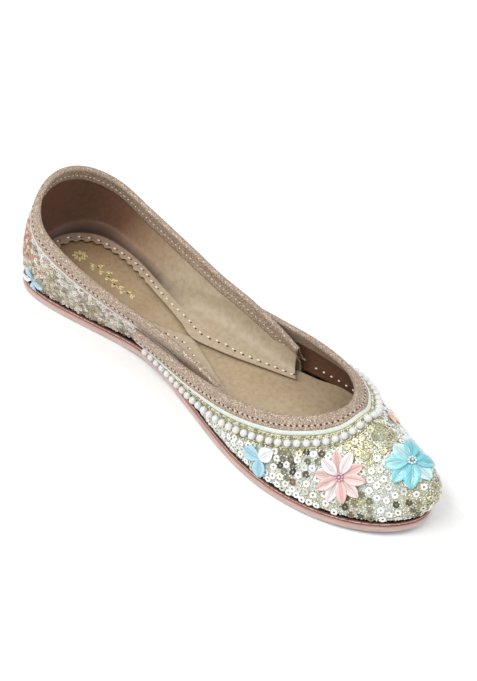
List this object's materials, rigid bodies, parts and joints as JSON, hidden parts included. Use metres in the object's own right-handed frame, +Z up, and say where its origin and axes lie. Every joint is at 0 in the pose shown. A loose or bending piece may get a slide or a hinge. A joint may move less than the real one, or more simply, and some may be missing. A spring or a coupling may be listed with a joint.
{
  "type": "mojari shoe",
  "caption": "Flat slip-on mojari with a U-shaped throat: layered leather sole, turned-in quarter and a vamp worked with sequins, beads and petal flowers.",
  "frame": {"origin": "under the middle of the whole shoe, on the ground it stands on", "axes": "+X to the toe, +Y to the left of the foot, +Z up"},
  "size_m": [0.2498, 0.0768, 0.053],
  "materials": {
    "outsole": "matt rose leather, painted edge",
    "midsole": "copper foil edge",
    "insole": "smooth tan lining leather",
    "quarter": "net ground worked all over with small sequins",
    "vamp": "glitter net ground worked with sequins",
    "lining": "smooth tan lining leather",
    "binding": "champagne glitter leather, stitched",
    "satin": "pale mint satin strip",
    "thread": "white stitching cotton",
    "zari": "green-gold metal thread",
    "pearl": "pearl lustre",
    "sequin": "iridescent ring sequins, champagne, gold and bronze",
    "petal_pink": "iridescent pink petals",
    "petal_blue": "iridescent blue petals",
    "gilt": "gold foil print"
  },
  "bodies": {
    "root": {"outsole": "outsole", "midsole": "midsole", "insole": "insole", "quarter": "quarter", "vamp": "vamp"}
  },
  "joints": []
}
